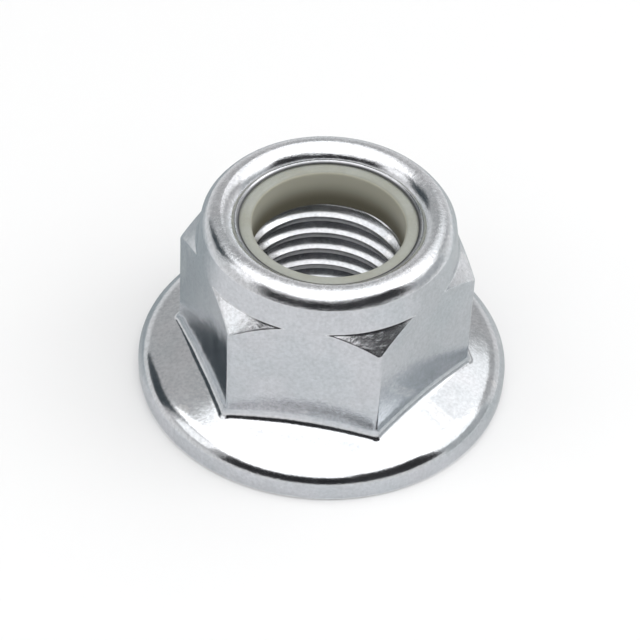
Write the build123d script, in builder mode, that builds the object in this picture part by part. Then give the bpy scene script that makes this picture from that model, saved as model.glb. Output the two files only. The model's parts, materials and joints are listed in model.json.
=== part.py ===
from build123d import *

import os
from math import acos, atan2, cos, degrees, hypot, radians, sin, tan

os.makedirs("parts", exist_ok=True)

# Hexagon flange lock nut with a nylon ring, M16 x 2.
# The origin is the centre of the bearing face and +Z runs up the thread axis to the ring.
# Two corners of the hexagon lie over the X axis.

# Thread
thread_diameter = 16.0
thread_pitch = 2.0
countersink_diameter = 17.0
countersink_angle_deg = 45.0

# Flange, forged in one with the hexagon
flange_diameter = 34.4
flange_band_height = 1.75
flange_edge_chamfer = 0.35
flange_top_round = 1.3
flange_cone_angle_deg = 17.5

overall_height = 19.8

# Hexagon and the conical ledges at the tops of its corners
across_flats = 23.8
hex_corner_round = 0.5
ledge_angle_deg = 48.0
ledge_root_round = 0.5

# Collar above the hexagon, crimped over the ring
collar_height = 3.95
collar_proud_of_flats = 0.1
collar_draw_in = 0.45
collar_round = 2.0
collar_wall = 1.45
crown_overrun_deg = 3.0
lip_thickness = 1.4
lip_cover = 2.25
lip_land = 0.6

# Nylon ring
ring_height = 4.05
ring_bore_diameter = 14.0
ring_bore_chamfer = 0.25
ring_side_clearance = 0.05
ring_top_clearance = 0.05

# The bore stands at the crests of the thread, 5/4 of pitch times cos 30 inside the thread diameter
bore_radius = (thread_diameter - 1.25 * thread_pitch * cos(radians(30))) / 2
countersink_radius = countersink_diameter / 2
countersink_depth = (countersink_radius - bore_radius) / tan(radians(countersink_angle_deg))

# The flange's cone is the line tangent to the rounding of its rim
cone_angle = radians(flange_cone_angle_deg)
flange_radius = flange_diameter / 2
rim_centre_radius = flange_radius - flange_top_round
cone_foot_radius = rim_centre_radius + flange_top_round * sin(cone_angle)
cone_foot_height = flange_band_height + flange_top_round * cos(cone_angle)
cone_top_height = cone_foot_height + cone_foot_radius * tan(cone_angle)


def cone_height(radius):
    """Height of the flange's cone at a radius."""
    return cone_top_height - radius * tan(cone_angle)


hex_flat_radius = across_flats / 2
hex_corner_radius = hex_flat_radius / cos(radians(30))
# The cone runs on a little way under the flats
cone_end_radius = hex_flat_radius - hex_corner_round

# The collar tapers from its base to the tangent point on the arc of its crown.
# The arc runs on over the top, and the collar's end slopes from there to the lip's upright land.
collar_base_radius = hex_flat_radius + collar_proud_of_flats
collar_base_height = overall_height - collar_height
crown_centre_radius = collar_base_radius - collar_draw_in - collar_round
crown_centre_height = overall_height - collar_round
base_to_crown_x = collar_base_radius - crown_centre_radius
base_to_crown_z = collar_base_height - crown_centre_height
crown_tangent_deg = degrees(
    atan2(base_to_crown_z, base_to_crown_x) + acos(collar_round / hypot(base_to_crown_x, base_to_crown_z))
)

# The cone of the ledges falls outwards from the collar's base, and is drawn on past the corners
ledge_drop = tan(radians(ledge_angle_deg))
trim_radius = 1.1 * hex_corner_radius
trim_height = collar_base_height - (trim_radius - collar_base_radius) * ledge_drop

# The pocket under the lip holds the ring with its clearances
pocket_radius = collar_base_radius - collar_wall
pocket_top = overall_height - lip_thickness
ring_radius = pocket_radius - ring_side_clearance
ring_top = pocket_top - ring_top_clearance
seat_height = ring_top - ring_height
ring_bore_radius = ring_bore_diameter / 2
lip_opening_radius = ring_radius - lip_cover

# Nut body: hexagon and collar are one blank, trimmed by a turned outline
with BuildPart() as nut_body:
    with BuildSketch(Plane.XY.offset(flange_band_height)) as hexagon:
        RegularPolygon(radius=hex_flat_radius, side_count=6, major_radius=False)
        fillet(hexagon.vertices(), radius=hex_corner_round)
    extrude(amount=overall_height - flange_band_height)

    with BuildSketch(Plane.XZ) as turned_outline:
        with BuildLine():
            crown = CenterArc(
                (crown_centre_radius, crown_centre_height),
                radius=collar_round,
                start_angle=crown_tangent_deg,
                arc_size=90 - crown_tangent_deg + crown_overrun_deg,
            )
            Polyline(
                crown @ 1,
                (lip_opening_radius, pocket_top + lip_land),
                (lip_opening_radius, pocket_top),
                (0, pocket_top),
                (0, 0),
                (trim_radius, 0),
                (trim_radius, trim_height),
                (collar_base_radius, collar_base_height),
                crown @ 0,
            )
        make_face()
        ledge_root = turned_outline.vertices().sort_by_distance((collar_base_radius, collar_base_height))[0]
        fillet(ledge_root, radius=ledge_root_round)
    revolve(axis=Axis.Z, mode=Mode.INTERSECT)

    # Flange: flat bearing face, rounded rim, cone rising to the foot of the flats
    with BuildSketch(Plane.XZ) as flange_outline:
        with BuildLine():
            rim = CenterArc(
                (rim_centre_radius, flange_band_height),
                radius=flange_top_round,
                start_angle=0,
                arc_size=90 - flange_cone_angle_deg,
            )
            Polyline(
                rim @ 1,
                (cone_end_radius, cone_height(cone_end_radius)),
                (0, cone_height(cone_end_radius)),
                (0, 0),
                (flange_radius, 0),
                rim @ 0,
            )
        make_face()
        lower_edge = flange_outline.vertices().sort_by_distance((flange_radius, 0))[0]
        chamfer(lower_edge, length=flange_edge_chamfer)
    revolve(axis=Axis.Z)

    # Bore with its countersink, and the ring's pocket under the crimped lip
    with BuildSketch(Plane.XZ) as hollow_outline:
        with BuildLine():
            Polyline(
                (pocket_radius, pocket_top),
                (pocket_radius, seat_height),
                (bore_radius, seat_height),
                (bore_radius, countersink_depth),
                (countersink_radius, 0),
                (0, 0),
                (0, pocket_top),
                close=True,
            )
        make_face()
    revolve(axis=Axis.Z, mode=Mode.SUBTRACT)

nut_body.part.label = "nut_body"
export_step(nut_body.part, "parts/nut_body.step")

# Nylon ring: sits on the seat, held down by the lip
with BuildPart() as nylon_insert:
    with BuildSketch(Plane.XY.offset(seat_height)):
        Circle(radius=ring_radius)
        Circle(radius=ring_bore_radius, mode=Mode.SUBTRACT)
    extrude(amount=ring_height)
    bore_mouth = nylon_insert.faces().sort_by(Axis.Z)[-1].edges().sort_by(SortBy.LENGTH)[0]
    chamfer(bore_mouth, length=ring_bore_chamfer)

nylon_insert.part.label = "nylon_insert"
export_step(nylon_insert.part, "parts/nylon_insert.step")
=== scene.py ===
"""Hexagon flange lock nut with a nylon ring: its forged and threaded body, the ring and a plain studio."""

import json
import math

import bpy
import numpy as np
from bpy.props import FloatProperty, FloatVectorProperty, IntProperty, PointerProperty
from mathutils import Matrix, Vector


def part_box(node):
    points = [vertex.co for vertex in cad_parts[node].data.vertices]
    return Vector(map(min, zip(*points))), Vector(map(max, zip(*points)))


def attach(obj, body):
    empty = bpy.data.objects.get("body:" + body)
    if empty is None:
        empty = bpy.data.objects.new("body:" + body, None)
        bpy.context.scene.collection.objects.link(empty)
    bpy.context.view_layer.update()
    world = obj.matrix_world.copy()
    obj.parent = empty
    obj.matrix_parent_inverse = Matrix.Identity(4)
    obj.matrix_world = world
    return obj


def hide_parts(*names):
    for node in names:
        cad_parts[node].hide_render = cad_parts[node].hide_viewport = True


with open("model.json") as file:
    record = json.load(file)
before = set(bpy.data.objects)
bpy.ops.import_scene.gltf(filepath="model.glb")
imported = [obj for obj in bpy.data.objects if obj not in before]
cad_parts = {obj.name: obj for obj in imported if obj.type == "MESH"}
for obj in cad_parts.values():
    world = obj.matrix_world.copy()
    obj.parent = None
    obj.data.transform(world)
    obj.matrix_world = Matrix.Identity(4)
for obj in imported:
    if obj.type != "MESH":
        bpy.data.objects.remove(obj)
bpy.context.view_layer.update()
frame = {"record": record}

bl_info = {
    "name": "Flange Lock Nut",
    "version": (1, 0, 0),
    "blender": (4, 5, 0),
    "location": "3D View > Sidebar > Lock Nut",
    "description": "Makes a hexagon flange lock nut with a nylon ring around its packed solids",
    "category": "Add Mesh",
}

BODY_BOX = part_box("nut_body")
RING_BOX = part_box("nylon_insert")
MOUNTS = {mount["name"]: mount for mount in frame["record"]["mounts"]}
ROOT = "root"
MM = 0.001
UP = Vector((0.0, 0.0, 1.0))
HEX_SIDES = 6

FLANGE_RADIUS = BODY_BOX[1].x
OVERALL_HEIGHT = BODY_BOX[1].z
SEAT_HEIGHT = RING_BOX[0].z
RING_TOP = RING_BOX[1].z
RING_RADIUS = RING_BOX[1].x
CREST_RADIUS = MOUNTS["thread"]["dims"]["r_mm"] * MM

# Mesh rows along each stretch of the body's section
ROWS = {
    "bearing face": 8,
    "lower edge": 5,
    "band": 3,
    "edge round": 6,
    "rim round": 10,
    "cone": 10,
    "foot": 14,
    "flat": 10,
    "ledge edge": 8,
    "ledge": 7,
    "collar root": 5,
    "collar": 10,
    "crease": 4,
    "shoulder": 8,
    "outer round": 14,
    "crest": 3,
    "inner round": 16,
    "toe": 6,
    "lip underside": 2,
    "pocket": 3,
    "seat": 3,
}

# Mesh rows along each stretch of the ring's section, and its columns
RING_ROWS = {"bore": 8, "edge": 4, "seat": 4, "wall": 4, "pressed face": 6, "free face": 12, "mouth": 8}
RING_COLUMNS = 192

# The forging's slow unevenness: how many waves cross, their shortest and longest length, and the seed.
# It fades out below the crown's top and towards the band, which keep to the solids' box.
WAVES = 9
WAVE_LENGTHS = (4 * MM, 15 * MM)
WAVE_SEED = 16
WAVE_FREE_TOP = 0.3 * MM
WAVE_FADE = 1.0 * MM

# Zones of the body's finish: the two radii or heights between which each mask rises from nothing to one
CRIMPED_HEIGHTS = (18.2 * MM, 18.5 * MM)
CRIMPED_RADII = (8.0 * MM, 8.2 * MM)
RUBBED_INSIDE = (9.1 * MM, 9.8 * MM)
RUBBED_OUTSIDE = (11.1 * MM, 10.4 * MM)
# Where the lip's edge meets the ring, shade is painted into the zinc's colour; this zone also gets extra
# roughness
SHADED_LIP_EDGE_RADII = (8.6 * MM, 8.2 * MM)
SHADED_LIP_EDGE_HEIGHTS = (18.0 * MM, 18.3 * MM)
BORE_HEIGHTS = (14.5 * MM, 14.2 * MM)
BORE_RADII = (9.0 * MM, 8.9 * MM)
LEDGE_RADII = (12.0 * MM, 12.2 * MM)
LEDGE_FOOT = (13.6 * MM, 14.2 * MM)
LEDGE_TOP = (15.95 * MM, 15.75 * MM)

# Zones of the ring's finish, in the same way
NYLON_BORE_RADII = (7.12 * MM, 7.04 * MM)
# Heights over which painted shade darkens the ring's bore towards the seat
NYLON_PAINTED_SHADE_HEIGHTS = (17.4 * MM, 15.0 * MM)
NYLON_SCATTER = (1.0, 0.95, 0.7)

# Span that holds most values of a noise
NOISE_SPAN = (0.3, 0.7)

# Softboxes: azimuth from the camera and elevation in degrees, width and height in metres, and level
SOFTBOX_DISTANCE = 0.95
SOFTBOXES = {
    "right_softbox": (92, 36, 0.56, 0.56, "right_level"),
    "rear_softbox": (132, 48, 0.80, 0.50, "rear_level"),
    "left_softbox": (-77, 31, 0.42, 0.34, "left_level"),
}

# Overhead softbox: its place to the right, towards the camera and up, its width and its depth
OVERHEAD_PLACE = (0.15, 0.43, 1.0)
OVERHEAD_SIZE = (2.37, 1.61)

# Cards: first and last azimuth from the camera in degrees, heights of foot and top in metres, and colour
CARD_DISTANCE = 0.9
CARD_STEPS = 25
CARDS = {
    "front_card": (-54, 21, 0.191, 0.711, "card"),
    "front_right_card": (21, 72, 0.191, 0.851, "card"),
    "right_card": (74, 112, 0.005, 0.420, "right_card"),
    "left_card": (-130, -98, 0.215, 0.680, "left_card"),
}

# Mat of painted floor shade, seen only in reflections: gap round the flange, outer radius, height, steps
# round it and the azimuths at which its greys change
MAT_GAP = 0.1 * MM
MAT_RADIUS = 150 * MM
MAT_HEIGHT = 0.2 * MM
MAT_STEPS = 181
MAT_STOPS = (-180, -158, -112, -80, 44, 76, 125, 155, 180)

FLOOR_HALF_WIDTH = 1.6
SENSOR_WIDTH = 36.0
CLIP_START = 0.01
CLIP_END = 10.0


def length(name, description, default):
    """A size of the nut in metres, shown in the panel."""
    return FloatProperty(name=name, description=description, default=default, precision=5, unit="LENGTH")


def angle(name, description, degrees):
    """An angle, given in degrees and kept in radians."""
    default = math.radians(degrees)
    return FloatProperty(name=name, description=description, default=default, subtype="ANGLE")


def factor(name, description, default, top=1.0):
    """A plain number from nothing to its top."""
    return FloatProperty(name=name, description=description, default=default, min=0.0, max=top, precision=3)


def colour(name, description, default):
    """A colour in linear light."""
    return FloatVectorProperty(
        name=name, description=description, default=default, size=3, min=0.0, max=1.0, subtype="COLOR"
    )


class ForgingSizes(bpy.types.PropertyGroup):
    """Sizes of the forged flange and hexagon."""

    columns: IntProperty(
        name="Columns", description="Mesh columns from a corner to the middle of a flat", default=30, min=8
    )
    bearing_edge: length("Countersink mouth", "Radius of the countersink's mouth below", 8.5 * MM)
    lower_round: length("Lower edge round", "Round of the flange's lower edge", 0.35 * MM)
    band_height: length("Band height", "Height at which the flange's upright band ends", 1.6 * MM)
    edge_round: length("Edge round", "Tight round above the band", 0.8 * MM)
    edge_end: angle("Edge round's end", "Upward tilt of the surface where the tight round ends", 28.0)
    rim_round: length("Rim round", "Wide round from there to the cone", 2.6 * MM)
    cone_slope: angle("Cone slope", "Slope of the flange's cone", 18.0)
    flat_radius: length("Flat radius", "Half the width across the flats", 11.9 * MM)
    corner_round: length("Corner round", "Round of the hexagon's upright corners", 0.5 * MM)
    foot_round: length("Foot round", "Round where a flat rises out of the flange", 1.6 * MM)
    foot_side: factor("Foot at the sides", "Share of the foot round that is left over the X axis", 0.55)
    foot_corner: factor("Foot corner", "Growth of the corner round over the foot's reach", 1.4, 4.0)
    ledge_angle: angle("Ledge angle", "Slope of the ledges at the tops of the corners", 48.0)
    edge_blend: length("Ledge edge", "Width over which the ledge's edge is rounded", 0.1 * MM)
    waviness: length("Waviness", "Height of the forging's slow unevenness", 0.012 * MM)


class CollarSizes(bpy.types.PropertyGroup):
    """Sizes of the collar that is crimped over the ring."""

    base_radius: length("Base radius", "Radius of the collar where the ledges start", 12.0 * MM)
    height: length("Height", "Height of the collar above the ledges", 3.95 * MM)
    root_blend: length("Root blend", "Width over which the ledges run into the collar", 0.07 * MM)
    crown_radius: length("Crown radius", "Radius of the crown's highest circle", 9.9 * MM)
    crown_sink: length("Crown sink", "Depth of that circle below the solid's top", 0.1 * MM)
    outer_round: length("Outer round", "Round outside the crown's highest circle", 1.6 * MM)
    outer_end: angle("Outer round's end", "Upward tilt of the surface where the outer round ends", 41.0)
    shoulder_round: length("Shoulder round", "Flatter round from there down to the crease", 4.05 * MM)
    shoulder_end: angle("Shoulder's end", "Upward tilt of the surface at the crease", 28.0)
    crease_round: length("Crease round", "Round of the crease between shoulder and side", 0.15 * MM)
    crest_round: length("Crest round", "Tight round just inside the crown's highest circle", 0.3 * MM)
    crest_end: angle("Crest's end", "Tilt of the surface where the tight round ends", 106.0)
    inner_round: length("Inner round", "Round from there down to the toe of the lip", 2.05 * MM)
    inner_end: angle("Inner round's end", "Tilt of the surface at the toe of the lip", 154.0)
    lip_radius: length("Lip radius", "Radius of the opening inside the lip", 8.15 * MM)
    lip_thickness: length("Lip thickness", "Height from the lip's underside to the solid's top", 1.4 * MM)
    toe_thickness: length("Toe thickness", "Thickness of the pressed toe at the lip's edge", 0.05 * MM)
    heel_height: length("Heel height", "Height above the underside at which the toe starts", 0.07 * MM)
    pocket_radius: length("Pocket radius", "Radius of the ring's pocket", 10.55 * MM)


class ThreadSizes(bpy.types.PropertyGroup):
    """Sizes of the internal thread."""

    pitch: length("Pitch", "Distance from one crest to the next", 2.0 * MM)
    crest_share: factor("Crest share", "Width of the crest over the pitch", 0.25)
    depth_share: factor("Depth share", "Depth of the groove over the pitch", 0.5413)
    corner_blend: length("Corner blend", "Width over which crests and roots are rounded", 0.12 * MM)
    start_angle: angle("Start", "Azimuth at which a crest's lower edge is at the start height", 97.68)
    start_height: length("Start height", "Height of a crest's lower edge at that azimuth", 12.347 * MM)
    end_chamfer: length("End chamfer", "Chamfer of the thread's upper end", 0.4 * MM)
    countersink_angle: angle("Countersink angle", "Half angle of the countersink", 45.0)


class RingSizes(bpy.types.PropertyGroup):
    """Sizes of the nylon ring."""

    bore_radius: length("Bore radius", "Radius of the ring's plain bore", 7.0 * MM)
    mouth_round: length("Mouth round", "Round of the bore's upper edge", 0.35 * MM)
    edge_round: length("Edge round", "Round of the ring's other edges", 0.15 * MM)
    bulge_radius: length("Bulge radius", "Radius at which the free face is highest", 7.55 * MM)
    bulge_height: length("Bulge height", "Height of the free face's crest above the pressed face", 0.05 * MM)
    bulge_fall: length("Bulge fall", "How far the free face falls from its crest to the lip", 0.13 * MM)


class Finishes(bpy.types.PropertyGroup):
    """Colours and gloss of the zinc plating and the nylon."""

    zinc: colour("Zinc", "Bright zinc plating", (0.790, 0.798, 0.825))
    zinc_cool: colour("Cool zinc", "Bluish passivated patches of the plating", (0.743, 0.768, 0.795))
    # Lighter zinc on sharp edges: rubbed plating and a painted highlight along them
    zinc_worn_and_highlit: colour("Worn zinc", "Rubbed plating on the edges", (0.93, 0.93, 0.94))
    edge_wear_and_highlight: factor("Edge wear", "How far the edges show the rubbed plating", 0.6)
    zinc_roughness: factor("Zinc roughness", "Roughness of the smooth plating", 0.13)
    forged_roughness: factor("Forged roughness", "Roughness of the torn ledges and the crimped crown", 0.34)
    bore_roughness: factor("Bore roughness", "Roughness that the bore has on top of that", 0.09)
    sheared_roughness: factor("Sheared roughness", "Roughness that the lip's edge has on top", 0.25)
    bore_shade: factor("Bore shade", "Brightness of the thinner plating inside the bore", 0.8)
    # Painted shade: how bright the zinc is drawn in the crevice under the lip's edge, where shade falls
    lip_edge_painted_shade: factor("Sheared shade", "Brightness of the bare, oily edge of the lip", 0.15)
    nylon: colour("Nylon", "Natural nylon", (0.375, 0.387, 0.350))
    nylon_shade: colour("Nylon shade", "Denser, yellower nylon", (0.342, 0.347, 0.302))
    nylon_bore: colour("Nylon bore", "Rubbed, yellower nylon in the bore", (0.480, 0.475, 0.395))
    # Painted shade: the colour that the bore's nylon is drawn towards lower down, where shade falls deep in
    # the bore
    nylon_painted_shade: colour("Nylon stain", "Oil-stained nylon low in the bore", (0.165, 0.154, 0.110))
    nylon_roughness: factor("Nylon roughness", "Roughness of the nylon", 0.42)
    nylon_gloss: factor("Nylon gloss", "Strength of the nylon's reflection", 0.45)
    nylon_translucency: factor("Nylon translucency", "Share of the light that enters the nylon", 0.3)
    nylon_depth: length("Nylon depth", "Depth to which that light spreads", 0.8 * MM)


class Studio(bpy.types.PropertyGroup):
    """Camera, lamps, room, floor, mat and cards."""

    azimuth: angle("Azimuth", "Camera's azimuth round the nut", 7.772)
    elevation: angle("Elevation", "Camera's elevation", 43.656)
    roll: angle("Roll", "Camera's roll", 3.021)
    distance: length("Distance", "Camera's distance from its aim", 309.325 * MM)
    aim: FloatVectorProperty(
        name="Aim",
        description="Point that the camera looks at",
        default=(-0.342 * MM, -0.047 * MM, 6.194 * MM),
        size=3,
        precision=5,
        subtype="TRANSLATION",
        unit="LENGTH",
    )
    focal_length: FloatProperty(
        name="Focal length", description="Camera's focal length in millimetres", default=187.116, min=1.0
    )
    overhead_level: factor("Overhead level", "Radiance of the overhead softbox", 1.12, 10.0)
    right_level: factor("Right level", "Radiance of the softbox on the right", 0.87, 10.0)
    rear_level: factor("Rear level", "Radiance of the softbox behind the nut on the right", 0.73, 10.0)
    left_level: factor("Left level", "Radiance of the softbox on the left", 0.78, 10.0)
    room_level: factor("Room level", "Radiance of the pale room", 0.445, 10.0)
    skirting_level: factor("Skirting level", "Radiance of the room near the floor", 0.725, 10.0)
    skirting_end: angle("Skirting's end", "Elevation up to which the room has that level", 12.0)
    room_start: angle("Room's start", "Elevation from which it has the room's own level", 20.0)
    floor: colour("Floor", "Matt pale floor", (0.86, 0.86, 0.86))
    floor_lift: factor("Floor lift", "Light that the floor adds where it is seen, to read as white", 0.04)
    card: colour("Card", "Dark cards in front of the nut", (0.02, 0.02, 0.022))
    left_card: colour("Left card", "Bluish card behind the nut on the left", (0.052, 0.064, 0.072))
    right_card: colour("Right card", "Grey card on the right", (0.42, 0.44, 0.45))
    # These greys are painted shade of the floor as the metal reflects it, darkest where the nut's shadow
    # falls behind it on the left
    front_floor_shade: colour("Front mat", "Grey mat on the floor in front of the nut", (0.63, 0.64, 0.65))
    left_floor_shadow: colour("Left mat", "Grey mat on the floor behind the nut on the left", (0.34, 0.37, 0.385))
    right_floor_shade: colour("Right mat", "Grey mat on the floor behind the nut on the right", (0.52, 0.54, 0.545))


def smooth_min(a, b, width):
    """The smaller of two values, with the change from one to the other rounded over a width."""
    closeness = np.clip(1 - np.abs(a - b) / width, 0, None)
    return np.minimum(a, b) - closeness**2 * width / 4


def smooth_max(a, b, width):
    """The larger of two values, with the change rounded over a width."""
    return -smooth_min(-a, -b, width)


def spread(start, end, steps, ease=0.0):
    """Rows from just after start to end. Ease above nothing draws them towards both ends."""
    share = np.arange(1, steps + 1) / steps
    eased = share * share * (3 - 2 * share)
    share = share + (eased - share) * ease
    return [start + (end - start) * t for t in share]


def arc(centre, radius, first, last, steps):
    """Rows along an arc in a section, from just after its first angle to its last."""
    return [
        (centre[0] + radius * math.cos(turn), centre[1] + radius * math.sin(turn))
        for turn in spread(first, last, steps)
    ]


def chain(start, arcs):
    """Rows along arcs that follow one another, each with its radius, first and last tilt and steps.

    A tilt is that of the surface's outward normal above the horizontal.
    """
    rows = [start]
    for radius, first, last, steps in arcs:
        centre = (rows[-1][0] - radius * math.cos(first), rows[-1][1] - radius * math.sin(first))
        rows += arc(centre, radius, first, last, steps)
    return rows[1:]


def column_azimuths(half_flat_columns):
    """Azimuths of the mesh's columns, closer together beside the hexagon's corners."""
    share = np.arange(half_flat_columns) / half_flat_columns
    even = 0.25
    half = math.pi / HEX_SIDES * (even * share + (1 - even) * share**2)
    flat = np.concatenate([half, [math.pi / HEX_SIDES], 2 * math.pi / HEX_SIDES - half[:0:-1]])
    return np.concatenate([flat + side * 2 * math.pi / HEX_SIDES for side in range(HEX_SIDES)])


def hexagon_radius(azimuth, flat_radius, corner_round):
    """Radius of the round-cornered hexagon, whose corners lie over the X axis."""
    side = 2 * math.pi / HEX_SIDES
    from_corner = np.abs((azimuth + side / 2) % side - side / 2)
    straight = flat_radius / np.cos(side / 2 - from_corner)
    centre = (flat_radius - corner_round) / math.cos(side / 2)
    touch = np.arctan2(corner_round * math.sin(side / 2), centre + corner_round * math.cos(side / 2))
    under_root = np.clip(corner_round**2 - (centre * np.sin(from_corner)) ** 2, 0, None)
    return np.where(from_corner < touch, centre * np.cos(from_corner) + np.sqrt(under_root), straight)


class NutSection:
    """The body's section at each azimuth: rows of radius and height from the bearing face to the seat."""

    def __init__(self, forging, collar, azimuths):
        self.forging = forging
        self.collar = collar
        self.azimuths = azimuths
        self.hexagon = self.foot_line(0.0)
        self.base_height = OVERALL_HEIGHT - collar.height
        self.crown_top = (collar.crown_radius, OVERALL_HEIGHT - collar.crown_sink)
        shoulder = [
            (collar.outer_round, math.pi / 2, collar.outer_end, ROWS["outer round"]),
            (collar.shoulder_round, collar.outer_end, collar.shoulder_end, ROWS["shoulder"]),
        ]
        radius, height = chain(self.crown_top, shoulder)[-1]
        lean = math.atan2(collar.base_radius - radius, height - self.base_height)
        shoulder.append((collar.crease_round, collar.shoulder_end, lean, ROWS["crease"]))
        self.shoulder = chain(self.crown_top, shoulder)
        self.rows = []

    def add(self, points):
        """Adds rows; a radius or a height may be one number for all azimuths."""
        for radius, height in points:
            self.rows.append(np.broadcast_arrays(radius, height, self.hexagon)[:2])

    def foot_line(self, reach):
        """Radius of the hexagon grown outwards by a reach, with its corners rounded more as it grows."""
        forging = self.forging
        corner = forging.corner_round + forging.foot_corner * reach
        return hexagon_radius(self.azimuths, forging.flat_radius + reach, corner)

    def blank_radius(self, height):
        """Radius of the hexagon where the turned outline of ledges and collar trims it."""
        crease = self.shoulder[-1]
        above = height - self.base_height
        lean = (self.collar.base_radius - crease[0]) / (crease[1] - self.base_height)
        taper = self.collar.base_radius - above * lean
        ledge = self.collar.base_radius - above / math.tan(self.forging.ledge_angle)
        turned = smooth_max(taper, ledge, self.collar.root_blend)
        return smooth_min(self.hexagon, turned, self.forging.edge_blend)

    def flange(self):
        """Bearing face, lower edge, band, rim, cone and the round at the foot of the flats."""
        forging = self.forging
        lower = forging.lower_round
        lower_centre = (FLANGE_RADIUS - lower, lower)
        self.add([(forging.bearing_edge, 0.0)])
        bearing_face = spread(forging.bearing_edge, lower_centre[0], ROWS["bearing face"])
        self.add((radius, 0.0) for radius in bearing_face)
        self.add(arc(lower_centre, lower, -math.pi / 2, 0.0, ROWS["lower edge"]))
        self.add((FLANGE_RADIUS, height) for height in spread(lower, forging.band_height, ROWS["band"]))
        tilt = math.pi / 2 - forging.cone_slope
        rounds = [
            (forging.edge_round, 0.0, forging.edge_end, ROWS["edge round"]),
            (forging.rim_round, forging.edge_end, tilt, ROWS["rim round"]),
        ]
        rim = chain((FLANGE_RADIUS, forging.band_height), rounds)
        self.add(rim)
        rim_radius, rim_height = rim[-1]
        foot_round = forging.foot_round * (1 - (1 - forging.foot_side) * np.cos(self.azimuths) ** 2)
        cone_end = self.foot_line(foot_round * (1 - math.cos(tilt)))
        rise = math.tan(forging.cone_slope)
        cone = spread(rim_radius, cone_end, ROWS["cone"])
        self.add((radius, rim_height + (rim_radius - radius) * rise) for radius in cone)
        self.foot_top = rim_height + (rim_radius - cone[-1]) * rise + foot_round * math.sin(tilt)
        for turn in spread(tilt, 0.0, ROWS["foot"]):
            radius = self.foot_line(foot_round * (1 - math.cos(turn)))
            self.add([(radius, self.foot_top - foot_round * math.sin(turn))])

    def hexagon_and_collar(self):
        """Flats, ledges at the corners and the collar up to its crown, with rows crowded at the two edges."""
        blend = self.forging.edge_blend
        drop = np.clip(self.hexagon - self.collar.base_radius, 0, None) * math.tan(self.forging.ledge_angle)
        edge = self.base_height - np.maximum(drop, 2 * blend)
        start = edge - 1.2 * blend
        heights = spread(self.foot_top, start, ROWS["flat"], ease=0.5)
        for end, stretch in (
            (edge + 0.8 * blend, "ledge edge"),
            (self.base_height - 0.6 * blend, "ledge"),
            (self.base_height + 0.9 * blend, "collar root"),
            (self.shoulder[-1][1], "collar"),
        ):
            heights += spread(start, end, ROWS[stretch])
            start = end
        self.add((self.blank_radius(height), height) for height in heights)

    def lip_and_pocket(self, seat_edge):
        """Crown, crimped lip and the pocket behind it, in to the edge of the seat."""
        collar = self.collar
        underside = OVERALL_HEIGHT - collar.lip_thickness
        self.add(self.shoulder[-2::-1])
        self.add([self.crown_top])
        rounds = [
            (collar.crest_round, math.pi / 2, collar.crest_end, ROWS["crest"]),
            (collar.inner_round, collar.crest_end, collar.inner_end, ROWS["inner round"]),
        ]
        inside = chain(self.crown_top, rounds)
        self.add(inside)
        nose = collar.toe_thickness / 2
        nose_centre = (collar.lip_radius + nose, underside + nose)
        self.add([(inside[-1][0] - nose, underside + collar.heel_height)])
        self.add([(nose_centre[0], underside + collar.toe_thickness)])
        self.add(arc(nose_centre, nose, math.pi / 2, math.pi * 1.5, ROWS["toe"]))
        under_lip = spread(nose_centre[0], collar.pocket_radius, ROWS["lip underside"])
        self.add((radius, underside) for radius in under_lip)
        self.add((collar.pocket_radius, height) for height in spread(underside, SEAT_HEIGHT, ROWS["pocket"]))
        self.add((radius, SEAT_HEIGHT) for radius in spread(collar.pocket_radius, seat_edge, ROWS["seat"]))


def waviness(x, y, z, amount):
    """Slow unevenness of a forged surface, from a few crossing waves."""
    draw = np.random.default_rng(WAVE_SEED)
    total = np.zeros_like(x)
    for _ in range(WAVES):
        direction = draw.normal(size=3)
        direction /= np.linalg.norm(direction)
        wave = 2 * math.pi / draw.uniform(*WAVE_LENGTHS)
        along = direction[0] * x + direction[1] * y + direction[2] * z
        total += np.sin(wave * along + draw.uniform(0, 2 * math.pi))
    return amount * total / math.sqrt(WAVES)


def thread_offsets(pitch, crest_share):
    """Heights within one pitch at which the thread has rows, from the crest's lower edge up.

    Crest, flank, root and flank follow one another, with rows close to each of their corners.
    """
    crest = crest_share * pitch
    root = pitch / 8
    flank = (pitch - crest - root) / 2
    before = 0.036 * pitch
    at_corner = 0.012 * pitch
    after = 0.024 * pitch
    wide = 0.12 * pitch
    edges = [0.0, crest, crest + flank, crest + flank + root]
    rows = []
    for start, end in zip(edges, edges[1:] + [pitch]):
        middle = [(start + end) / 2] if end - start > wide else []
        rows += [start - at_corner, start + after] + middle + [end - before]
    return np.array(sorted(row % pitch for row in rows))


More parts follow.
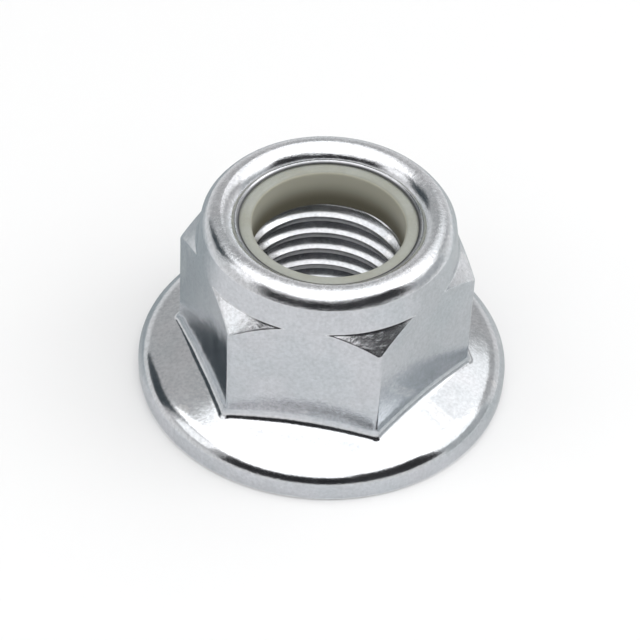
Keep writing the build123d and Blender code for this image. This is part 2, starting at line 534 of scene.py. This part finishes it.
class ThreadGrid:
    """Rows of vertices that climb with the thread, from the countersink up to the seat."""

    def __init__(self, sizes, azimuths, bearing_edge):
        self.sizes = sizes
        self.bearing_edge = bearing_edge
        pitch = sizes.pitch
        offsets = thread_offsets(pitch, sizes.crest_share)
        self.per_turn = len(offsets)
        spare = 2
        base = (sizes.start_height - sizes.start_angle / (2 * math.pi) * pitch) % pitch - spare * pitch
        turns = int(SEAT_HEIGHT / pitch) + 2 * spare
        heights = np.concatenate([base + offsets + turn * pitch for turn in range(turns)])
        self.heights = heights[:, None] + azimuths[None, :] / (2 * math.pi) * pitch
        snap = 0.02 * MM
        self.low = self.heights < snap
        self.high = self.heights > SEAT_HEIGHT - snap
        self.heights = np.clip(self.heights, 0.0, SEAT_HEIGHT)
        self.radii = self.radius(azimuths[None, :], self.heights)
        self.seat_edge = self.radius(azimuths, np.full_like(azimuths, SEAT_HEIGHT))

    def radius(self, azimuth, height):
        """Radius of the threaded bore with its countersink and upper chamfer."""
        sizes = self.sizes
        pitch = sizes.pitch
        crest = sizes.crest_share * pitch
        along = (height - sizes.start_height - (azimuth - sizes.start_angle) / (2 * math.pi) * pitch) % pitch
        rise = math.sqrt(3) * np.minimum(along - crest, pitch - along)
        groove = smooth_min(rise, np.full_like(rise, sizes.depth_share * pitch), sizes.corner_blend)
        groove = smooth_max(groove, np.zeros_like(rise), sizes.corner_blend)
        countersink = self.bearing_edge - height * math.tan(sizes.countersink_angle)
        chamfer = CREST_RADIUS + sizes.end_chamfer - (SEAT_HEIGHT - height)
        return np.maximum(CREST_RADIUS + groove, np.maximum(countersink, chamfer))


def grid_faces(index, next_index):
    """Quads between two rows-by-columns sets of vertex numbers, with triangles where corners coincide."""
    corners = np.stack([index[:-1], next_index[:-1], next_index[1:], index[1:]], axis=-1).reshape(-1, 4)
    faces = []
    for face in corners.tolist():
        kept = [vertex for place, vertex in enumerate(face) if vertex != face[place - 1]]
        if len(set(kept)) >= 3:
            faces.append(kept)
    return faces


def finished_mesh(name, points, faces, material):
    """A smooth-shaded object from points and faces, in the nut's frame, with face-weighted normals."""
    mesh = bpy.data.meshes.new(name)
    mesh.from_pydata(points.tolist(), [], faces)
    mesh.validate()
    mesh.polygons.foreach_set("use_smooth", [True] * len(mesh.polygons))
    mesh.materials.append(material)
    piece = bpy.data.objects.new(name, mesh)
    bpy.context.scene.collection.objects.link(piece)
    normals = piece.modifiers.new("Face weighted normals", "WEIGHTED_NORMAL")
    normals.mode = "FACE_AREA_WITH_ANGLE"
    normals.keep_sharp = True
    return piece


class Nodes:
    """Adds nodes to one material and links them."""

    def __init__(self, material):
        material.use_nodes = True
        self.tree = material.node_tree
        self.shader = self.tree.nodes["Principled BSDF"]

    def add(self, kind, values=None, **settings):
        """A node with its settings, and values or links for its inputs by name or number."""
        node = self.tree.nodes.new(kind)
        for setting, value in settings.items():
            setattr(node, setting, value)
        for socket, value in (values or {}).items():
            self.put(node, socket, value)
        return node

    def put(self, node, socket, value):
        """Sets an input, or links it where the value is another node's output."""
        if isinstance(value, bpy.types.NodeSocket):
            self.tree.links.new(value, node.inputs[socket])
        else:
            node.inputs[socket].default_value = value

    def maths(self, operation, first, second=0.0):
        """The result of one calculation."""
        return self.add("ShaderNodeMath", {0: first, 1: second}, operation=operation).outputs[0]

    def times(self, first, *others):
        """The product of two values or more."""
        for other in others:
            first = self.maths("MULTIPLY", first, other)
        return first

    def place(self):
        """The point on the piece, its coordinates and its radius from the nut's axis."""
        point = self.add("ShaderNodeTexCoord").outputs["Object"]
        x, y, z = self.add("ShaderNodeSeparateXYZ", {0: point}).outputs
        radius = self.maths("SQRT", self.maths("ADD", self.times(x, x), self.times(y, y)))
        return point, (x, y, z), radius

    def between(self, value, low, high):
        """Rises smoothly from nothing at low to one at high."""
        values = {"Value": value, "From Min": low, "From Max": high}
        return self.add("ShaderNodeMapRange", values, interpolation_type="SMOOTHSTEP").outputs["Result"]

    def varied(self, noise, low, high, span=NOISE_SPAN):
        """A value that goes from low to high over a span of a noise."""
        values = {"Value": noise, "From Min": span[0], "From Max": span[1], "To Min": low, "To Max": high}
        return self.add("ShaderNodeMapRange", values).outputs["Result"]

    def noise(self, vector, scale, detail, roughness, distortion=0.0):
        """Soft random patches, about one over the scale in metres across."""
        values = {"Vector": vector, "Scale": scale, "Detail": detail, "Roughness": roughness}
        values["Distortion"] = distortion
        return self.add("ShaderNodeTexNoise", values).outputs["Fac"]

    def mix(self, share, first, second, blend="MIX"):
        """A mixed colour."""
        node = self.add("ShaderNodeMix", data_type="RGBA", blend_type=blend)
        for socket, value in ((0, share), (6, first), (7, second)):
            self.put(node, socket, (*value, 1.0) if isinstance(value, tuple) else value)
        return node.outputs[2]

    def shaded(self, tint, shade):
        """A colour times a shade of grey."""
        grey = self.add("ShaderNodeCombineColor", {0: shade, 1: shade, 2: shade}).outputs[0]
        return self.mix(1.0, tint, grey, "MULTIPLY")

    def bump(self, height, distance, strength, below=None):
        """A normal bent by a height, on top of another normal."""
        values = {"Height": height, "Distance": distance, "Strength": strength}
        if below is not None:
            values["Normal"] = below
        return self.add("ShaderNodeBump", values).outputs["Normal"]

    def finish(self, **sockets):
        """Sets or links the shader's sockets."""
        for socket, value in sockets.items():
            self.put(self.shader, socket.replace("_", " ").title().replace("Ior", "IOR"), value)


def zinc_material(finishes):
    """Bright zinc on cold-forged steel: streaked on the crimped crown, torn on the ledges, finely pitted."""
    material = bpy.data.materials.new("zinc_plated_steel")
    nodes = Nodes(material)
    point, (x, y, z), radius = nodes.place()
    crimped = nodes.times(nodes.between(z, *CRIMPED_HEIGHTS), nodes.between(radius, *CRIMPED_RADII))
    rubbed = nodes.times(
        nodes.between(radius, *RUBBED_INSIDE), nodes.between(radius, *RUBBED_OUTSIDE), crimped
    )
    shaded_lip_edge = nodes.times(nodes.between(radius, *SHADED_LIP_EDGE_RADII), nodes.between(z, *SHADED_LIP_EDGE_HEIGHTS))
    bore = nodes.times(nodes.between(z, *BORE_HEIGHTS), nodes.between(radius, *BORE_RADII))
    ledge = nodes.times(
        nodes.between(radius, *LEDGE_RADII), nodes.between(z, *LEDGE_FOOT), nodes.between(z, *LEDGE_TOP)
    )

    patches = nodes.noise(point, scale=140.0, detail=4.0, roughness=0.55)
    blotches = nodes.noise(point, scale=420.0, detail=5.0, roughness=0.6)
    grain = nodes.noise(point, scale=3000.0, detail=4.0, roughness=0.65)
    scuffs = nodes.noise(point, scale=1300.0, detail=5.0, roughness=0.7, distortion=0.4)
    # The crimping roll's streaks run round the crown, so their noise changes slowly with the azimuth
    around = nodes.times(nodes.maths("ARCTAN2", y, x), 10.0 * MM)
    unrolled = {0: around, 1: nodes.times(radius, 2.5), 2: nodes.times(z, 2.5)}
    unrolled = nodes.add("ShaderNodeCombineXYZ", unrolled).outputs[0]
    streaks = nodes.noise(unrolled, scale=1300.0, detail=6.0, roughness=0.72)
    edges = nodes.between(nodes.add("ShaderNodeNewGeometry").outputs["Pointiness"], low=0.52, high=0.58)

    cool = nodes.between(patches, low=0.42, high=0.62)
    tint = nodes.mix(cool, tuple(finishes.zinc), tuple(finishes.zinc_cool))
    # Sharp edges take the lighter zinc: rubbed plating and a painted highlight
    tint = nodes.mix(nodes.times(edges, finishes.edge_wear_and_highlight), tint, tuple(finishes.zinc_worn_and_highlit))
    speckle = nodes.varied(grain, low=0.87, high=1.10)
    mottle = nodes.varied(blotches, low=0.96, high=1.04)
    tint = nodes.shaded(tint, nodes.times(speckle, mottle))
    tint = nodes.mix(bore, tint, nodes.shaded(tint, finishes.bore_shade))
    # Painted shade in the crevice under the lip's edge, where it meets the ring
    tint = nodes.mix(shaded_lip_edge, tint, nodes.shaded(tint, finishes.lip_edge_painted_shade))

    plain = finishes.zinc_roughness
    roughness = nodes.varied(blotches, low=plain * 0.8, high=plain * 1.25)
    streaked = nodes.times(crimped, nodes.varied(streaks, low=0.0, high=0.22, span=(0.35, 0.65)))
    scuffed = nodes.times(rubbed, nodes.varied(scuffs, low=0.1, high=0.9, span=(0.35, 0.6)))
    torn = nodes.maths("MAXIMUM", nodes.times(ledge, 0.25), nodes.maths("MAXIMUM", streaked, scuffed))
    for mask, rougher in (
        (torn, finishes.forged_roughness - plain),
        (bore, finishes.bore_roughness),
        (shaded_lip_edge, finishes.sheared_roughness),
    ):
        roughness = nodes.maths("ADD", roughness, nodes.times(mask, rougher))

    normal = nodes.bump(blotches, distance=0.05 * MM, strength=0.35)
    normal = nodes.bump(grain, distance=0.012 * MM, strength=0.5, below=normal)
    normal = nodes.bump(streaks, distance=0.03 * MM, strength=nodes.times(crimped, 0.5), below=normal)
    scuff_strength = nodes.maths("ADD", nodes.times(rubbed, 0.75), nodes.times(ledge, 0.5))
    normal = nodes.bump(scuffs, distance=0.06 * MM, strength=scuff_strength, below=normal)
    nodes.finish(base_color=tint, metallic=1.0, roughness=roughness, normal=normal)
    return material


def nylon_material(finishes):
    """Natural nylon: slightly cloudy and translucent, with faint turning marks, a yellower bore and painted
    shade deep in the bore.
    """
    material = bpy.data.materials.new("natural_nylon")
    nodes = Nodes(material)
    point, (_, _, z), radius = nodes.place()
    clouds = nodes.noise(point, scale=260.0, detail=4.0, roughness=0.5)
    grain = nodes.noise(point, scale=3200.0, detail=3.0, roughness=0.55)
    turned = nodes.add("ShaderNodeCombineXYZ", {0: nodes.times(radius, 6.0), 1: nodes.times(z, 6.0)})
    marks = nodes.noise(turned.outputs[0], scale=700.0, detail=3.0, roughness=0.6)

    dense = nodes.between(clouds, low=0.35, high=0.7)
    tint = nodes.mix(dense, tuple(finishes.nylon), tuple(finishes.nylon_shade))
    tint = nodes.shaded(tint, nodes.varied(grain, low=0.96, high=1.04))
    in_bore = nodes.between(radius, *NYLON_BORE_RADII)
    # Painted shade: the bore's nylon darkens towards the seat, deep in the bore where shade falls
    painted_depth_shade = nodes.times(in_bore, nodes.between(z, *NYLON_PAINTED_SHADE_HEIGHTS))
    tint = nodes.mix(in_bore, tint, tuple(finishes.nylon_bore))
    tint = nodes.mix(painted_depth_shade, tint, tuple(finishes.nylon_painted_shade))

    plain = finishes.nylon_roughness
    roughness = nodes.varied(clouds, low=plain * 0.85, high=plain * 1.2)
    normal = nodes.bump(marks, distance=0.02 * MM, strength=0.3)
    normal = nodes.bump(grain, distance=0.01 * MM, strength=0.4, below=normal)
    nodes.finish(base_color=tint, roughness=roughness, normal=normal)
    nodes.finish(subsurface_weight=finishes.nylon_translucency, subsurface_radius=NYLON_SCATTER)
    nodes.finish(subsurface_scale=finishes.nylon_depth, specular_ior_level=finishes.nylon_gloss)
    return material


class LOCKNUT_OT_body(bpy.types.Operator):
    """Makes the forged body with its flange, hexagon, crimped collar and thread."""

    bl_idname = "locknut.body"
    bl_label = "Forged Body"

    def execute(self, context):
        scene = context.scene
        forging = scene.locknut_forging
        azimuths = column_azimuths(forging.columns)
        thread = ThreadGrid(scene.locknut_thread, azimuths, forging.bearing_edge)
        section = NutSection(forging, scene.locknut_collar, azimuths)
        section.flange()
        section.hexagon_and_collar()
        section.lip_and_pocket(thread.seat_edge)
        radii = np.array([row[0] for row in section.rows])
        heights = np.array([row[1] for row in section.rows])
        unevenness = waviness(radii * np.cos(azimuths), radii * np.sin(azimuths), heights, forging.waviness)
        below_top = np.clip((OVERALL_HEIGHT - WAVE_FREE_TOP - heights) / WAVE_FADE, 0, 1)
        above_band = np.clip((heights - forging.band_height) / WAVE_FADE, 0, 1)
        outside = radii > scene.locknut_collar.pocket_radius
        radii = radii - np.abs(unevenness) * below_top * above_band * outside

        outer_index = np.arange(radii.size).reshape(radii.shape)
        inner_index = radii.size + np.arange(thread.radii.size).reshape(thread.radii.shape)
        inner_index = np.where(thread.low, outer_index[0], inner_index)
        inner_index = np.where(thread.high, outer_index[-1], inner_index)
        faces = grid_faces(outer_index, np.roll(outer_index, -1, axis=1))
        # The last column's neighbour is the first column one turn of the thread higher
        climbing = inner_index[: -thread.per_turn]
        one_turn_up = inner_index[thread.per_turn :, :1]
        neighbour = np.concatenate([climbing[:, 1:], one_turn_up], axis=1)
        faces += [face[::-1] for face in grid_faces(climbing, neighbour)]

        all_radii = np.concatenate([radii.ravel(), thread.radii.ravel()])
        all_heights = np.concatenate([heights.ravel(), thread.heights.ravel()])
        all_azimuths = np.tile(azimuths, len(radii) + len(thread.radii))
        across = all_radii * np.cos(all_azimuths)
        along = all_radii * np.sin(all_azimuths)
        points = np.stack([across, along, all_heights], axis=1)
        used = np.unique(np.concatenate([np.array(face) for face in faces]))
        renumber = np.zeros(len(points), int)
        renumber[used] = np.arange(len(used))
        faces = [renumber[face].tolist() for face in faces]
        body = finished_mesh("forged_body", points[used], faces, zinc_material(scene.locknut_finishes))
        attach(body, ROOT)
        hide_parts("nut_body")
        return {"FINISHED"}


class LOCKNUT_OT_ring(bpy.types.Operator):
    """Makes the nylon ring that sits on the seat under the lip."""

    bl_idname = "locknut.ring"
    bl_label = "Nylon Ring"

    def execute(self, context):
        scene = context.scene
        sizes = scene.locknut_ring
        bore = sizes.bore_radius
        mouth = sizes.mouth_round
        edge = sizes.edge_round
        lip = scene.locknut_collar.lip_radius

        def face_height(radius):
            """Height of the upper face, which bulges inside the lip and is pressed flat under it."""
            outward = min((radius - sizes.bulge_radius) / (lip - sizes.bulge_radius), 1.0)
            return RING_TOP + sizes.bulge_height - sizes.bulge_fall * outward**2

        mouth_centre = (bore + mouth, face_height(bore + mouth) - mouth)
        bottom = SEAT_HEIGHT + edge
        wall = RING_RADIUS - edge
        rows = [(bore, height) for height in spread(bottom, mouth_centre[1], RING_ROWS["bore"])][::-1]
        rows += [(bore, bottom)]
        rows += arc((bore + edge, bottom), edge, math.pi, math.pi * 1.5, RING_ROWS["edge"])
        rows += [(radius, SEAT_HEIGHT) for radius in spread(bore + edge, wall, RING_ROWS["seat"])]
        rows += arc((wall, bottom), edge, -math.pi / 2, 0.0, RING_ROWS["edge"])
        rows += [(RING_RADIUS, height) for height in spread(bottom, RING_TOP - edge, RING_ROWS["wall"])]
        rows += arc((wall, RING_TOP - edge), edge, 0.0, math.pi / 2, RING_ROWS["edge"])
        upper_face = spread(wall, lip, RING_ROWS["pressed face"])
        upper_face += spread(lip, mouth_centre[0], RING_ROWS["free face"])
        rows += [(radius, face_height(radius)) for radius in upper_face]
        rows += arc(mouth_centre, mouth, math.pi / 2, math.pi, RING_ROWS["mouth"])[:-1]

        azimuths = np.arange(RING_COLUMNS) / RING_COLUMNS * 2 * math.pi
        rows = np.array(rows)
        radii = np.repeat(rows[:, :1], RING_COLUMNS, axis=1)
        heights = np.repeat(rows[:, 1:], RING_COLUMNS, axis=1)
        points = np.stack([radii * np.cos(azimuths), radii * np.sin(azimuths), heights], axis=-1)
        points = points.reshape(-1, 3)
        index = np.arange(radii.size).reshape(radii.shape)
        index = np.concatenate([index, index[:1]])
        faces = grid_faces(index, np.roll(index, -1, axis=1))
        ring = finished_mesh("nylon_ring", points, faces, nylon_material(scene.locknut_finishes))
        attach(ring, ROOT)
        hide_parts("nylon_insert")
        return {"FINISHED"}


def studio_axes(studio):
    """Unit vectors on the floor, from the nut towards the camera's side and to the camera's right."""
    towards = Vector((math.sin(studio.azimuth), -math.cos(studio.azimuth), 0.0))
    right = Vector((math.cos(studio.azimuth), math.sin(studio.azimuth), 0.0))
    return towards, right


def ribbon(axes, turns, foot, top):
    """Points and faces of a strip round the nut.

    Its turns count from the camera's azimuth, and its foot and top are each a distance and a height.
    """
    towards, right = axes
    points = []
    for turn in turns:
        way = towards * math.cos(turn) + right * math.sin(turn)
        points += [way * distance + UP * height for distance, height in (foot, top)]
    faces = [(2 * i, 2 * i + 1, 2 * i + 3, 2 * i + 2) for i in range(len(turns) - 1)]
    return points, faces


def softbox(name, centre, target, width, height, level):
    """A rectangular area lamp of even radiance that faces a target."""
    lamp = bpy.data.lights.new(name, "AREA")
    lamp.shape = "RECTANGLE"
    lamp.size = width
    lamp.size_y = height
    lamp.energy = level * math.pi * width * height
    holder = bpy.data.objects.new(name, lamp)
    bpy.context.scene.collection.objects.link(holder)
    holder.location = centre
    holder.rotation_mode = "QUATERNION"
    holder.rotation_quaternion = (target - centre).to_track_quat("-Z", "Y")
    return holder


def stage_mesh(name, points, faces, base_colour, roughness, lift=0.0):
    """A plain matt piece of the studio. Its lift is added where it is seen straight on or in a reflection."""
    mesh = bpy.data.meshes.new(name)
    mesh.from_pydata(points, [], faces)
    material = bpy.data.materials.new(name)
    nodes = Nodes(material)
    nodes.finish(base_color=(*base_colour, 1.0), roughness=roughness)
    nodes.shader.inputs["Specular IOR Level"].default_value = 0.0
    if lift:
        rays = nodes.add("ShaderNodeLightPath").outputs
        seen = nodes.maths("MAXIMUM", rays["Is Camera Ray"], rays["Is Glossy Ray"])
        seen = nodes.maths("MAXIMUM", seen, rays["Is Transmission Ray"])
        nodes.finish(emission_color=(1.0, 1.0, 1.0, 1.0), emission_strength=nodes.times(seen, lift))
    mesh.materials.append(material)
    piece = bpy.data.objects.new(name, mesh)
    bpy.context.scene.collection.objects.link(piece)
    return piece


def only_in_reflections(piece):
    """Hides a stage piece from the camera, from soft light and from shadows."""
    piece.visible_camera = False
    piece.visible_diffuse = False
    piece.visible_shadow = False


class LOCKNUT_OT_stage(bpy.types.Operator):
    """Makes the floor, the lamps, the cards, the mat, the room and the camera."""

    bl_idname = "locknut.stage"
    bl_label = "Stage"

    def execute(self, context):
        scene = context.scene
        studio = scene.locknut_studio
        axes = studio_axes(studio)
        self.floor(studio)
        self.lamps(studio, axes)
        for name, (first, last, foot, top, card_colour) in CARDS.items():
            turns = np.radians(np.linspace(first, last, CARD_STEPS))
            strip = ribbon(axes, turns, (CARD_DISTANCE, foot), (CARD_DISTANCE, top))
            card = stage_mesh(name, *strip, getattr(studio, card_colour), roughness=0.8)
            only_in_reflections(card)
        self.mat(studio, axes)
        self.room(scene, studio)
        self.camera(scene, studio, axes)
        scene.view_settings.view_transform = "Standard"
        return {"FINISHED"}

    def floor(self, studio):
        """The pale floor."""
        half = FLOOR_HALF_WIDTH
        corners = [(-half, -half, 0.0), (half, -half, 0.0), (half, half, 0.0), (-half, half, 0.0)]
        stage_mesh("floor", corners, [(0, 1, 2, 3)], studio.floor, roughness=0.9, lift=studio.floor_lift)

    def lamps(self, studio, axes):
        """The overhead softbox, level over the nut, and those round it, which face the nut."""
        towards, right = axes
        to_right, to_camera, above = OVERHEAD_PLACE
        place = right * to_right + towards * to_camera + UP * above
        overhead = softbox("overhead_softbox", place, place - UP, *OVERHEAD_SIZE, studio.overhead_level)
        overhead.rotation_quaternion = Matrix((right, -towards, UP)).transposed().to_quaternion()
        for name, (azimuth, elevation, width, height, level) in SOFTBOXES.items():
            turn = math.radians(azimuth)
            rise = math.radians(elevation)
            way = (towards * math.cos(turn) + right * math.sin(turn)) * math.cos(rise) + UP * math.sin(rise)
            place = way * SOFTBOX_DISTANCE
            softbox(name, place, Vector(studio.aim), width, height, getattr(studio, level))

    def mat(self, studio, axes):
        """The mat under the nut, seen only in reflections, whose greys run into one another round it: painted
        shade of the floor round the nut, with a painted shadow behind it on the left.
        """
        front, left, side = (np.array(grey) for grey in (studio.front_floor_shade, studio.left_floor_shadow, studio.right_floor_shade))
        back = (left + side) / 2
        greys = np.array((back, left, left, front, front, side, side, back, back))
        turns = np.radians(np.linspace(-180, 180, MAT_STEPS))
        strip = ribbon(axes, turns, (FLANGE_RADIUS + MAT_GAP, MAT_HEIGHT), (MAT_RADIUS, MAT_HEIGHT))
        mat = stage_mesh("mat", *strip, studio.front_floor_shade, roughness=0.8)
        channels = [np.repeat(np.interp(turns, np.radians(MAT_STOPS), channel), 2) for channel in greys.T]
        shades = np.stack([*channels, np.ones(2 * len(turns))], axis=1)
        layer = mat.data.color_attributes.new("grey", "FLOAT_COLOR", "POINT")
        layer.data.foreach_set("color", shades.ravel())
        nodes = Nodes(mat.data.materials[0])
        nodes.finish(base_color=nodes.add("ShaderNodeAttribute", attribute_name="grey").outputs["Color"])
        only_in_reflections(mat)

    def room(self, scene, studio):
        """The pale room, a little brighter near the floor."""
        world = bpy.data.worlds.new("pale_room")
        scene.world = world
        world.use_nodes = True
        tree = world.node_tree
        background = tree.nodes["Background"]
        background.inputs["Color"].default_value = (1.0, 1.0, 1.0, 1.0)
        height = tree.nodes.new("ShaderNodeSeparateXYZ")
        tree.links.new(tree.nodes.new("ShaderNodeTexCoord").outputs["Generated"], height.inputs[0])
        level = tree.nodes.new("ShaderNodeMapRange")
        level.inputs["From Min"].default_value = math.sin(studio.skirting_end)
        level.inputs["From Max"].default_value = math.sin(studio.room_start)
        level.inputs["To Min"].default_value = studio.skirting_level
        level.inputs["To Max"].default_value = studio.room_level
        tree.links.new(height.outputs["Z"], level.inputs["Value"])
        tree.links.new(level.outputs["Result"], background.inputs["Strength"])

    def camera(self, scene, studio, axes):
        """The camera at the picture's angle."""
        towards, right = axes
        back = towards * math.cos(studio.elevation) + UP * math.sin(studio.elevation)
        level_up = back.cross(right)
        rolled_right = right * math.cos(studio.roll) + level_up * math.sin(studio.roll)
        rolled_up = level_up * math.cos(studio.roll) - right * math.sin(studio.roll)
        data = bpy.data.cameras.new("camera")
        data.lens = studio.focal_length
        data.sensor_width = SENSOR_WIDTH
        data.clip_start = CLIP_START
        data.clip_end = CLIP_END
        camera = bpy.data.objects.new("camera", data)
        scene.collection.objects.link(camera)
        turn = Matrix((rolled_right, rolled_up, back)).transposed().to_4x4()
        camera.matrix_world = Matrix.Translation(Vector(studio.aim) + back * studio.distance) @ turn
        scene.camera = camera


class LOCKNUT_PT_panel(bpy.types.Panel):
    """Lists the nut's pieces and its stage, with their sizes and colours."""

    bl_idname = "LOCKNUT_PT_panel"
    bl_label = "Lock Nut"
    bl_space_type = "VIEW_3D"
    bl_region_type = "UI"
    bl_category = "Lock Nut"

    def draw(self, context):
        layout = self.layout
        for operator in OPERATORS:
            layout.operator(operator.bl_idname)
        for group in GROUPS:
            layout.label(text=group.removeprefix("locknut_").capitalize())
            settings = getattr(context.scene, group)
            for name in settings.bl_rna.properties.keys():
                if name not in ("rna_type", "name"):
                    layout.prop(settings, name)


OPERATORS = (LOCKNUT_OT_body, LOCKNUT_OT_ring, LOCKNUT_OT_stage)
GROUPS = {
    "locknut_forging": ForgingSizes,
    "locknut_collar": CollarSizes,
    "locknut_thread": ThreadSizes,
    "locknut_ring": RingSizes,
    "locknut_finishes": Finishes,
    "locknut_studio": Studio,
}
CLASSES = (*GROUPS.values(), *OPERATORS, LOCKNUT_PT_panel)


def register():
    for cls in CLASSES:
        bpy.utils.register_class(cls)
    for name, group in GROUPS.items():
        setattr(bpy.types.Scene, name, PointerProperty(type=group))


def unregister():
    for name in GROUPS:
        delattr(bpy.types.Scene, name)
    for cls in reversed(CLASSES):
        bpy.utils.unregister_class(cls)


def main():
    """Makes every piece and the stage."""
    register()
    bpy.ops.locknut.body()
    bpy.ops.locknut.ring()
    bpy.ops.locknut.stage()


if __name__ == "__main__":
    main()
